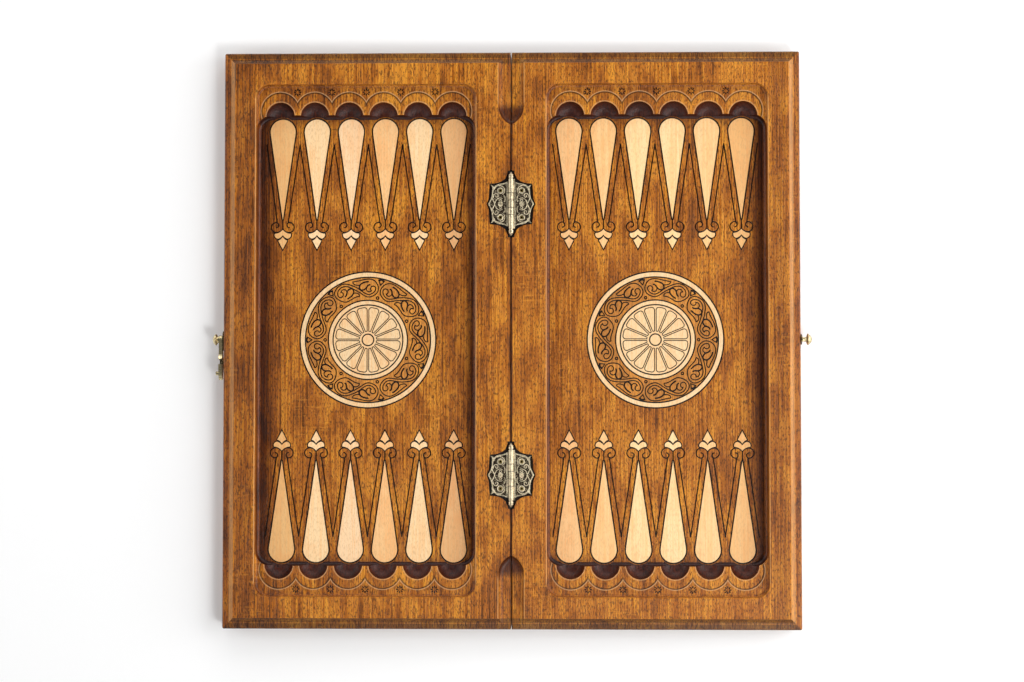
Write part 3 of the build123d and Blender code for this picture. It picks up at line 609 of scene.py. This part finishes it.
@dataclass(frozen=True)
class PaleBeech:
    """Bare beech, sealed but not stained, that the figures are left in."""

    name: str
    tones: tuple[Colour, ...] = (srgb(240, 208, 162),)
    start_x: float = 0.0
    pitch: float = PITCH
    shift: float = 0.0

    def material(self) -> bpy.types.Material:
        """Makes the finish, with one tone for each column of points from start_x on.

        Returns:
            The material.
        """
        material, tree, shader, place = blank(self.name)
        figure = BeechFigure.place(tree, Vector=place, Shift=self.shift, Stave_Width=self.pitch * MM)
        if len(self.tones) > 1:
            x, _, _ = tree.split(place)
            width = self.pitch * MM * len(self.tones)
            across = tree.math("DIVIDE", tree.math("SUBTRACT", x, self.start_x * MM), width)
            stops = [(index / len(self.tones), tone) for index, tone in enumerate(self.tones)]
            base = tree.ramp(across, stops, stepped=True)
        else:
            base = self.tones[0]
        streak = tree.span(figure["Streak"], 0.1, 0.9, (0.0, 0.45))
        colour = tree.blend(streak, base, srgb(255, 226, 186), "MULTIPLY")
        cloud = tree.span(figure["Cloud"], 0.4, 1.0, (0.0, 0.3))
        colour = tree.blend(cloud, colour, srgb(248, 214, 176), "MULTIPLY")
        colour = tree.blend(tree.math("MULTIPLY", figure["Fleck"], 0.3), colour, srgb(196, 146, 98))
        tree.feed(shader.inputs["Base Color"], colour)
        tree.feed(shader.inputs["Roughness"], tree.span(figure["Cloud"], 0.2, 0.8, (0.4, 0.52)))
        shader.inputs["Coat Weight"].default_value = 0.2
        shader.inputs["Coat Roughness"].default_value = 0.35
        bump = tree.add("ShaderNodeBump", {"Height": figure["Fibre"], "Strength": 0.25, "Distance": 0.0002})
        tree.feed(shader.inputs["Normal"], bump.outputs["Normal"])
        return material


@dataclass(frozen=True)
class AntiqueBrass:
    """Cast brass, darker low down and brighter high up. On the cast leaves this is patina in the hollows and
    rubbing on the relief; on the round barrels it is painted highlight and shade, and on the latch wear with
    a painted highlight.

    ground and crest are the heights in millimetres between which the metal turns bright, and
    grime lies where its stains are.
    """

    name: str
    ground: float
    crest: float
    bright: Colour = srgb(232, 216, 182)
    dark: Colour = srgb(44, 33, 22)
    cells: float = 1100.0
    relief: float = 0.5
    grime: tuple[TintZone, ...] = ()

    def material(self) -> bpy.types.Material:
        """Makes the finish.

        Returns:
            The material.
        """
        material, tree, shader, place = blank(self.name)
        cast = CastStipple.place(tree, Vector=place, Cells=self.cells)
        _, _, z = tree.split(place)
        heights = {"From Min": self.ground * MM, "From Max": self.crest * MM, "To Min": 0.15, "To Max": 1.0}
        height = tree.add("ShaderNodeMapRange", {"Value": z, **heights}).outputs["Result"]
        tarnish = tree.span(cast["Tarnish"], 0.25, 0.65, (0.0, 0.7))
        rubbed = tree.math("SUBTRACT", tree.math("MULTIPLY", height, 1.3), tarnish, clamp=True)
        colour = tree.blend(rubbed, self.dark, self.bright)
        for zone in self.grime:
            colour = zone.lay(tree, place, colour)
        tree.feed(shader.inputs["Base Color"], colour)
        tree.feed(shader.inputs["Metallic"], tree.span(rubbed, 0.0, 0.5, (0.75, 1.0)))
        tree.feed(shader.inputs["Roughness"], tree.span(rubbed, 0.0, 1.0, (0.55, 0.28)))
        depth = {"Height": cast["Height"], "Strength": self.relief, "Distance": 0.0003}
        bump = tree.add("ShaderNodeBump", depth)
        tree.feed(shader.inputs["Normal"], bump.outputs["Normal"])
        return material


def dress(node: bpy.types.Object, material: bpy.types.Material) -> None:
    """Gives a piece one material.

    Args:
        node: The piece.
        material: Its finish.
    """
    node.data.materials.clear()
    node.data.materials.append(material)
    LOG.info("%s dressed in %s", node.name, material.name)


@dataclass
class Woodwork:
    """Slab, panel, inlays and chess field of both halves. Sizes are in millimetres."""

    nodes: dict[str, bpy.types.Object]
    figure_middle: float = 125.3
    floor: float = 10.5
    ledge: float = 20.2
    arch_y: float = 198.9
    head_y: float = 194.7
    step_radius: float = 16.2
    over_step_radius: float = 17.1
    pocket_radius: float = 12.8
    medallion_radius: float = 44.6
    medallion_half_width: float = 9.8
    medallion_pitch: float = 200.0
    # How far from the seam each panel's darkening reaches: stain with painted shade, set apart for each half.
    right_seam_shade: float = 34.0
    left_seam_shade: float = 41.0

    left_tones: tuple[Colour, ...] = (
        srgb(236, 188, 126),
        srgb(252, 217, 168),
        srgb(250, 214, 170),
        srgb(244, 196, 138),
        srgb(252, 218, 170),
        srgb(234, 184, 128),
    )
    right_tones: tuple[Colour, ...] = (
        srgb(244, 196, 138),
        srgb(246, 200, 140),
        srgb(252, 214, 158),
        srgb(252, 215, 160),
        srgb(248, 204, 146),
        srgb(238, 188, 124),
    )

    def slab_tints(self) -> tuple[TintZone, ...]:
        """Tints of the carved slab, from the recess out to the edges: burnt lines, painted shade and painted
        highlights.

        Returns:
            The stains in the order in which they are laid.
        """
        crevice_shade = srgb(120, 84, 56)
        burnt_and_shadow = srgb(34, 21, 12)
        recess_shade = srgb(170, 146, 122)
        lip_highlight = srgb(214, 166, 116)
        wear_and_highlight = srgb(222, 166, 104)
        side = srgb(224, 214, 200)
        end_cove_shade = srgb(170, 176, 196)
        end_face_shade = srgb(156, 160, 174)
        ledge, arch = self.ledge, self.ledge - 1.0
        edge = EDGE_SOFT
        step = Ring(TRAY_MIDDLE, self.arch_y, PITCH, self.step_radius, 0.75)
        over_step = Ring(TRAY_MIDDLE, self.arch_y, PITCH, self.over_step_radius, 0.6)
        pocket_lip = Ring(TRAY_MIDDLE, self.head_y, PITCH, self.pocket_radius, 0.6)
        return (
            # Painted shade: the recess under the arches, its walls, pockets and floor cove, made darker.
            TintZone((29, -9, 5), (223, 224, arch - 0.3), (1, 1, 0.3), recess_shade),
            # Darker pockets: their stain, with painted shade in the hollows.
            TintZone((32, 186, 5), (221, 224, arch - 0.2), (2, 3, 1.2), srgb(152, 112, 78)),
            # Painted shadow at the foot of the end wall, where the pillars meet the floor.
            TintZone((32, 189, 5), (221, 196.2, 17), (2, 1, 3), crevice_shade, 0.5),
            # Painted shade on the end ledges and their coves, greyed like a dull reflection.
            TintZone((28, 205, ledge - 0.05), (224, 223, ledge + 2.5), (2, 4, edge), srgb(204, 190, 194), 0.9),
            # Dark line at the foot of each arch's step: burnt in, with painted shadow under the step.
            TintZone((28, 186, arch), (224, 224, ledge + 0.3), (2, 4, edge), burnt_and_shadow, 0.9, step),
            # Painted highlights on the arris outside each arch's step and on the lip of each pocket.
            TintZone((28, 186, arch), (224, 224, ledge + 0.3), (2, 4, edge), lip_highlight, 0.55, over_step, Mode.MIX),
            TintZone((28, 186, 18.0), (224, 224, ledge - 0.2), (2, 4, edge), lip_highlight, 0.5, pocket_lip, Mode.MIX),
            TintZone((34, 211, ledge - 0.8), (219, 221, ledge - 0.1), (1, 1, edge), burnt_and_shadow),
            # Painted highlights on the rounded arrises of the recess rim.
            TintZone((221.5, -9, 24.1), (222.7, 212, 26), (0.3, 3, 0.3), wear_and_highlight, 0.55, mode=Mode.MIX),
            TintZone((29.8, -9, 24.1), (31, 212, 26), (0.3, 3, 0.3), wear_and_highlight, 0.55, mode=Mode.MIX),
            TintZone((223.2, -9, 24.2), (239.4, FAR, 26), (3, 1, 0.3), srgb(224, 218, 208)),
            # Painted highlight on the cove of the side mouldings.
            TintZone(
                (240, -9, 19), (244.8, FAR, 24.5), (0.6, 1, 0.3), wear_and_highlight, 0.4, mode=Mode.MIX, mitre=Mitre.SIDES
            ),
            TintZone((244.8, -9, 1), (FAR, FAR, 24.6), (0.5, 1, 0.3), side, mitre=Mitre.SIDES),
            # Painted shade with a grey painted reflection on the end mouldings and the end faces.
            TintZone((-9, 240.2, 1), (FAR, 244.8, 24.6), (1, 0.5, 0.3), end_cove_shade, 0.9, mitre=Mitre.ENDS),
            TintZone((-9, 244.8, 1), (FAR, FAR, 24.6), (1, 0.5, 0.3), end_face_shade, 0.9, mitre=Mitre.ENDS),
            # Painted shadow in the mortises round the hinge leaves.
            TintZone((-9, 85, 22), (24, 151, 24.9), (2, 2, edge), burnt_and_shadow),
            # Painted shade on the run-out at each end of the seam's notch.
            TintZone((-9, 180, 18.5), (12, 206, 24.9), (1.5, 6, 0.4), crevice_shade, 0.9),
            # Painted highlight on the arris of the seam's notch.
            TintZone((10.8, 203, 24.3), (11.8, FAR, 26), (0.3, 3, 0.3), wear_and_highlight, 0.6, mode=Mode.MIX),
            # Painted shade on the faces at the seam, between the two halves.
            TintZone((-9, -9, 22), (1.6, FAR, 26), (0.8, 1, 1), crevice_shade, 0.8),
        )

    def panel_tints(self, hand: Hand) -> tuple[TintZone, ...]:
        """Tints of a play panel: its rim, darker with stain and painted shade, the ground of the medallion
        and the burnt lines.

        Args:
            hand: Half that the panel is in.

        Returns:
            The tints in the order in which they are laid.
        """
        burnt = srgb(26, 15, 8)
        recess_shade = srgb(188, 170, 150)
        wall_foot_shade = srgb(132, 108, 90)
        before = self.figure_middle - self.medallion_pitch / 2
        band = Ring(before, 0, self.medallion_pitch, self.medallion_radius, self.medallion_half_width)
        seam_side = self.right_seam_shade if hand is Hand.RIGHT else self.left_seam_shade
        return (
            TintZone((60, -9, 5), (190, 60, 12), (1, 1, 1), srgb(226, 158, 78), 0.35, band, Mode.MIX),
            # Darker towards the tray's walls: sprayed stain, with painted shade at the walls' feet.
            TintZone((196, -9, 5), (FAR, FAR, 12), (26, 1, 1), recess_shade, 0.9),
            TintZone((207, -9, 5), (FAR, FAR, 12), (9, 1, 1), wall_foot_shade, 0.9),
            TintZone((-9, -9, 5), (seam_side, FAR, 12), (7, 1, 1), wall_foot_shade, 0.9),
            # Darker towards the end walls: sprayed stain, with painted shade.
            TintZone((-9, 184, 5), (FAR, FAR, 12), (1, 12, 1), srgb(164, 144, 126), 0.8),
            TintZone((-9, -9, -1), (FAR, FAR, self.floor - 0.06), (1, 1, 0.04), burnt),
        )

    def build(self) -> None:
        """Dresses every wooden node."""
        pale = PaleBeech("pale beech of the medallions").material()
        shades = {"dark": srgb(40, 18, 8), "body": srgb(70, 34, 14), "light": srgb(98, 52, 24)}
        dark = StainedBeech("dark stained squares", shift=0.41, **shades).material()
        squares = PaleBeech("pale squares", (srgb(232, 196, 146),), pitch=SQUARE, shift=0.23).material()
        halves = ((Hand.RIGHT, self.right_tones, 0.0155), (Hand.LEFT, self.left_tones, 0.0485))
        for hand, tones, shift in halves:
            start = hand.value * self.figure_middle - HALF_ROW * PITCH
            slab = StainedBeech(f"{hand.word} slab", shift=shift, tints=self.slab_tints()).material()
            panel = StainedBeech(f"{hand.word} panel", shift=shift, tints=self.panel_tints(hand)).material()
            points = PaleBeech(f"{hand.word} points", tones, start, PITCH, shift).material()
            finishes = {
                "case": slab,
                "play_panel": panel,
                "point_inlays": points,
                "bud_inlays": points,
                "medallion_outer_ring": pale,
                "medallion_inner_ring": pale,
                "medallion_web": pale,
                "medallion_petals": pale,
                "medallion_hub": pale,
                "chess_light_squares": squares,
                "chess_dark_squares": dark,
                "chess_stringing": squares,
            }
            for part, material in finishes.items():
                dress(self.nodes[f"{hand.word}_{part}"], material)


@dataclass(frozen=True)
class Sprig:
    """Raised line of a leaf's ornament: places (x, y) and half-widths along it, in millimetres."""

    places: tuple[tuple[float, float], ...]
    widths: tuple[float, ...]


@dataclass
class Hinges:
    """Two cast hinges with ornament in relief.

    Sizes are in millimetres from a hinge's middle, and a ring is its bead's radius and half-width.
    """

    nodes: dict[str, bpy.types.Object]
    hinge_y: float = 117.1
    ground: float = 24.5
    crest: float = 25.1
    nail: tuple[float, float] = (9.2, 11.6)
    nail_ring: tuple[float, float] = (2.45, 0.45)
    nail_pit: float = 1.2
    eye_y: float = 3.1
    eye_ring: tuple[float, float] = (0.95, 0.3)
    middle_ring: tuple[float, float] = (1.7, 0.35)
    joints: tuple[float, ...] = (-9.5, -3.2, 3.2, 9.5)
    joint_half_width: float = 0.5
    dirt: Colour = srgb(30, 22, 14)
    sprigs: tuple[Sprig, ...] = (
        Sprig(
            ((3.3, 18.9), (6.2, 17.7), (9.3, 17.1), (12.2, 16.2), (14.7, 14.2)),
            (0.5, 0.55, 0.55, 0.55, 0.6),
        ),
        Sprig(((14.4, 13.8), (15.7, 15.2), (17.4, 16.4)), (0.65, 0.55, 0.15)),
        Sprig(
            ((15.1, 14.2), (15.8, 11.6), (16.1, 8.2), (16.9, 4.9), (19.3, 0.0)),
            (0.6, 0.55, 0.5, 0.55, 0.6),
        ),
        Sprig(((16.6, 5.6), (15.2, 2.6), (13.9, 0.0)), (0.45, 0.5, 0.5)),
        Sprig(
            ((15.0, 12.2), (13.2, 15.0), (10.2, 15.9), (7.2, 15.0), (5.6, 12.6), (5.9, 9.8), (7.6, 8.2)),
            (0.35, 0.5, 0.5, 0.45, 0.4, 0.35, 0.2),
        ),
        Sprig(
            ((15.6, 5.4), (14.6, 8.3), (12.7, 9.0), (11.3, 7.6), (11.9, 6.0), (13.2, 6.4), (13.2, 7.5)),
            (0.45, 0.5, 0.5, 0.45, 0.4, 0.35, 0.3),
        ),
        Sprig(((13.9, 1.0), (12.6, 3.6), (10.8, 4.9), (8.8, 5.2), (7.2, 4.4)), (0.4, 0.45, 0.4, 0.35, 0.2)),
        Sprig(((6.6, 8.0), (5.4, 6.2), (5.2, 3.4), (6.0, 1.6)), (0.2, 0.35, 0.35, 0.2)),
    )

    def line(self, sprig: Sprig, side: int, flip: int, y: float) -> bpy.types.Object:
        """Models one raised line as a round bead whose top is level with the crest.

        Args:
            sprig: Its places and widths.
            side: 1 on the right leaf and -1 on the left one.
            flip: 1 above the leaf's middle and -1 below it.
            y: Place of the hinge.

        Returns:
            The bead's mesh object.
        """
        bpy.ops.curve.primitive_bezier_curve_add(location=(0.0, 0.0, 0.0))
        bead = bpy.context.object
        bead.data.bevel_depth = MM
        bead.data.bevel_resolution = 2
        bead.data.resolution_u = 5
        bead.data.use_fill_caps = True
        spline = bead.data.splines[0]
        spline.bezier_points.add(len(sprig.places) - len(spline.bezier_points))
        for point, (x, across), width in zip(spline.bezier_points, sprig.places, sprig.widths):
            point.co = (side * x * MM, (y + flip * across) * MM, (self.crest - width) * MM)
            point.radius = width
            point.handle_left_type = point.handle_right_type = "AUTO"
        bpy.ops.object.convert(target="MESH")
        return bead

    def ring(self, x: float, y: float, radius: float, width: float) -> bpy.types.Object:
        """Models a raised ring, such as the one round a nail.

        Args:
            x: Place of its middle.
            y: Place of its middle.
            radius: Radius of the bead's middle.
            width: Half-width of the bead.

        Returns:
            The ring's mesh object.
        """
        bpy.ops.mesh.primitive_torus_add(
            location=(x * MM, y * MM, (self.crest - width) * MM),
            major_radius=radius * MM,
            minor_radius=width * MM,
            major_segments=28,
            minor_segments=10,
        )
        return bpy.context.object

    def relief(self, hand: Hand, level: str, y: float) -> bpy.types.Object:
        """Models the whole ornament of one leaf as one piece.

        Args:
            hand: Half that the leaf is on.
            level: upper or lower.
            y: Place of the hinge.

        Returns:
            The ornament's object.
        """
        deselect_all()
        side = hand.value
        pieces = [self.line(sprig, side, flip, y) for sprig in self.sprigs for flip in (1, -1)]
        nail_x, nail_y = self.nail
        for flip in (1, -1):
            pieces.append(self.ring(side * nail_x, y + flip * nail_y, *self.nail_ring))
            pieces.append(self.ring(side * nail_x, y + flip * self.eye_y, *self.eye_ring))
        pieces.append(self.ring(side * nail_x, y, *self.middle_ring))
        deselect_all()
        for piece in pieces:
            piece.select_set(True)
        bpy.context.view_layer.objects.active = pieces[0]
        bpy.ops.object.join()
        ornament = bpy.context.object
        ornament.name = f"{hand.word}_{level}_hinge_relief"
        bpy.ops.object.transform_apply(location=True, rotation=True, scale=True)
        bpy.ops.object.shade_smooth()
        return ornament

    def barrel_grime(self) -> tuple[TintZone, ...]:
        """Dirt in the joints between the knuckles.

        Returns:
            A stain for each joint.
        """
        half, soft = self.joint_half_width, (0.4, 0.4, 1)
        joints = [self.hinge_y + offset for offset in self.joints]
        return tuple(TintZone((-9, y - half, 20), (2.8, y + half, 30), soft, self.dirt, 0.9) for y in joints)

    def nail_grime(self) -> tuple[TintZone, ...]:
        """Dirt in the sunk middles of the nail heads.

        Returns:
            A stain for each pair of nails.
        """
        x, reach = self.nail
        pit, soft = self.nail_pit, (0.8, 0.8, 1)
        middles = [self.hinge_y - reach, self.hinge_y + reach]
        return tuple(
            TintZone((x - pit, y - pit, 20), (x + pit, y + pit, 30), soft, self.dirt) for y in middles
        )

    def build(self) -> None:
        """Dresses the hinges and adds the ornament of their leaves."""
        low, high = self.ground - 0.1, self.crest - 0.1
        cast = AntiqueBrass("cast brass of the leaves", low, high, grime=self.barrel_grime()).material()
        # The barrels are lighter on top and darker down their sides by height alone: painted highlight and
        # shade.
        barrel_brass_with_painted_light = AntiqueBrass("brass of the barrels", 23.6, 26.6, relief=0.12, cells=700.0).material()
        brassy = srgb(206, 178, 104)
        pits = self.nail_grime()
        nails = AntiqueBrass("brass of the nails", 24.4, 25.1, brassy, relief=0.1, grime=pits).material()
        for level, y in (("upper", self.hinge_y), ("lower", -self.hinge_y)):
            dress(self.nodes[f"{level}_hinge_pin"], barrel_brass_with_painted_light)
            for hand in Hand:
                dress(self.nodes[f"{hand.word}_{level}_hinge_leaf"], cast)
                ornament = self.relief(hand, level, y)
                dress(ornament, cast)
                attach(ornament, hand.body)
        for hand in Hand:
            dress(self.nodes[f"{hand.word}_hinge_nails"], nails)


@dataclass
class Latch:
    """Swinging hook on the left edge and its catch on the right edge."""

    nodes: dict[str, bpy.types.Object]

    def build(self) -> None:
        """Dresses the latch."""
        # Both brasses are lighter towards the top by height: the latch is worn brass with a painted
        # highlight, and the plates are dull brass with painted shade low down, where the hook shades them.
        wear_and_highlight = AntiqueBrass("brass of the latch", 8.0, 19.0, srgb(232, 214, 166), relief=0.15, cells=600.0)
        dull_and_shaded = AntiqueBrass("dull brass of the plates", 12.0, 30.0, srgb(150, 128, 84), relief=0.2)
        wear_and_highlight_finish, dull_and_shaded_finish = wear_and_highlight.material(), dull_and_shaded.material()
        for name in ("latch_hook", "latch_pivot", "catch_stud"):
            dress(self.nodes[name], wear_and_highlight_finish)
        for name in ("latch_plate", "latch_plate_nails", "catch_washer"):
            dress(self.nodes[name], dull_and_shaded_finish)


@dataclass(frozen=True)
class Lamp:
    """Soft lamp that faces the board: name, place and size in metres, and power in watts."""

    name: str
    place: Point
    size: tuple[float, float]
    power: float

    def hang(self) -> None:
        """Hangs the lamp."""
        data = bpy.data.lights.new(self.name, "AREA")
        data.shape = "RECTANGLE"
        data.size, data.size_y = self.size
        data.energy = self.power
        lamp = bpy.data.objects.new(self.name, data)
        lamp.location = self.place
        lamp.rotation_euler = (-Vector(self.place)).to_track_quat("-Z", "Y").to_euler()
        bpy.context.scene.collection.objects.link(lamp)


@dataclass
class Studio:
    """White table, soft lamps and the camera over the board. Sizes are in metres."""

    eye: Point = (0.0335, -0.0507, 1.5163)
    lean: float = 1.887
    turn: float = -1.2545
    lens: float = 60.8
    sensor: float = 36.0
    floor_side: float = 6.0
    lit_radius: float = 0.8
    white_radius: float = 2.0
    white_glow: float = 0.8
    horizon: float = 1.0
    zenith: float = 0.06
    lamps: tuple[Lamp, ...] = (
        Lamp("left window", (-1.35, 0.1, 0.8), (1.0, 1.4), 7.0),
        Lamp("right window", (1.25, 0.1, 0.75), (1.0, 1.4), 15.0),
        Lamp("back window", (0.1, 1.35, 0.8), (1.6, 0.9), 9.0),
        Lamp("front lamp", (0.77, -0.79, 1.5), (0.5, 0.5), 13.0),
    )

    def floor(self) -> None:
        """Lays the white table under the board, which stays white where the lamps don't reach."""
        deselect_all()
        bpy.ops.mesh.primitive_plane_add(size=self.floor_side, location=(0.0, 0.0, 0.0))
        table = bpy.context.object
        table.name = "table"
        material, tree, shader, place = blank("white table")
        shader.inputs["Base Color"].default_value = (0.97, 0.97, 0.97, 1.0)
        shader.inputs["Roughness"].default_value = 1.0
        away = tree.add("ShaderNodeVectorMath", {0: place}, operation="LENGTH").outputs["Value"]
        rays = tree.add("ShaderNodeLightPath").outputs
        seen = tree.math("MAXIMUM", rays["Is Camera Ray"], rays["Is Glossy Ray"])
        seen = tree.math("MAXIMUM", seen, rays["Is Transmission Ray"])
        glow = tree.span(away, self.lit_radius, self.white_radius, (0.0, self.white_glow))
        shader.inputs["Emission Color"].default_value = (1.0, 1.0, 1.0, 1.0)
        tree.feed(shader.inputs["Emission Strength"], tree.math("MULTIPLY", glow, seen))
        table.data.materials.append(material)

    def world(self) -> None:
        """Fills the room with white light from the walls, under a dark ceiling."""
        world = bpy.data.worlds.new("studio")
        world.use_nodes = True
        background = world.node_tree.nodes["Background"]
        background.inputs["Color"].default_value = (1.0, 1.0, 1.0, 1.0)
        tree = Tree(world.node_tree)
        _, _, height = tree.split(tree.add("ShaderNodeTexCoord").outputs["Generated"])
        tree.feed(background.inputs["Strength"], tree.span(height, 0.1, 0.9, (self.horizon, self.zenith)))
        bpy.context.scene.world = world

    def camera(self) -> None:
        """Sets the camera where the photograph was taken from."""
        data = bpy.data.cameras.new("camera")
        data.lens = self.lens
        data.sensor_width = self.sensor
        camera = bpy.data.objects.new("camera", data)
        camera.location = self.eye
        camera.rotation_euler = (radians(self.lean), -radians(self.turn), 0.0)
        bpy.context.scene.collection.objects.link(camera)
        bpy.context.scene.camera = camera

    def build(self) -> None:
        """Sets up the whole studio."""
        self.floor()
        for lamp in self.lamps:
            lamp.hang()
        self.world()
        self.camera()
        bpy.context.scene.view_settings.view_transform = "Standard"


def main() -> None:
    """Builds the looks of the board round its frame."""
    logging.basicConfig(level=logging.INFO, format="%(name)s: %(message)s")
    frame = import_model()
    Woodwork(frame["nodes"]).build()
    Hinges(frame["nodes"]).build()
    Latch(frame["nodes"]).build()
    Studio().build()


if __name__ == "__main__":
    main()
